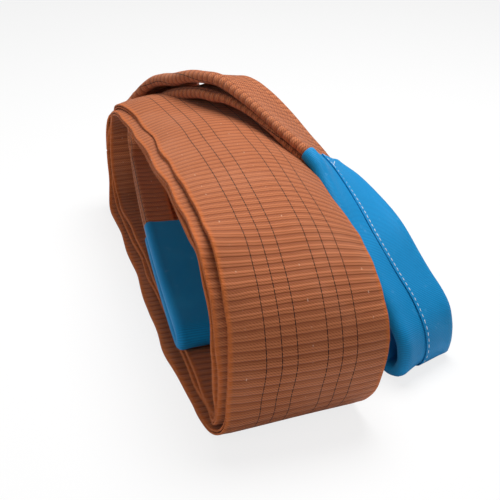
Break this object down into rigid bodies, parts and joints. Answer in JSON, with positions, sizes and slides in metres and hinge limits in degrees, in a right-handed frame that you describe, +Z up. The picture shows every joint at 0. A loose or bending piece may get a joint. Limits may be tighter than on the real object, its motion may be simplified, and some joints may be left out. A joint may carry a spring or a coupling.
{
  "type": "flat web sling",
  "caption": "Flat duplex web sling rolled up for storage: the outer soft eye, in its wear sleeve, drapes over the roll and the inner one lies inside it.",
  "frame": {"origin": "middle of the rolled webbing's underside, where it rests on the floor", "axes": "+X across the webbing towards the side the outer eye hangs off, +Y along the roll towards its far end, +Z up"},
  "size_m": [0.3446, 0.6916, 0.2842],
  "materials": {
    "webbing": "woven polyester webbing, ribbed across, with black marker yarns and white stitching",
    "sleeve": "heavy woven polyester wear sleeve, finely ribbed"
  },
  "bodies": {
    "roll": {"outer_ply": "webbing", "inner_ply": "webbing", "outer_eye_upper_root": "webbing", "outer_eye_lower_root": "webbing", "inner_eye_upper_root": "webbing", "inner_eye_lower_root": "webbing"},
    "outer_eye": {"outer_eye_strap": "webbing", "outer_eye_sleeve": "sleeve"},
    "inner_eye": {"inner_eye_strap": "webbing", "inner_eye_sleeve": "sleeve"}
  },
  "joints": [
    {"name": "outer_eye_lift", "type": "hinge", "parent": "roll", "child": "outer_eye", "pos_m": [0.05, 0.152, 0.27321], "axis": [-0.9455, -0.3256, 0], "range_deg": [0, 70]},
    {"name": "inner_eye_lift", "type": "hinge", "parent": "roll", "child": "inner_eye", "pos_m": [-0.057, 0.23791, 0.11595], "axis": [-1, 0, 0], "range_deg": [0, 12]}
  ]
}
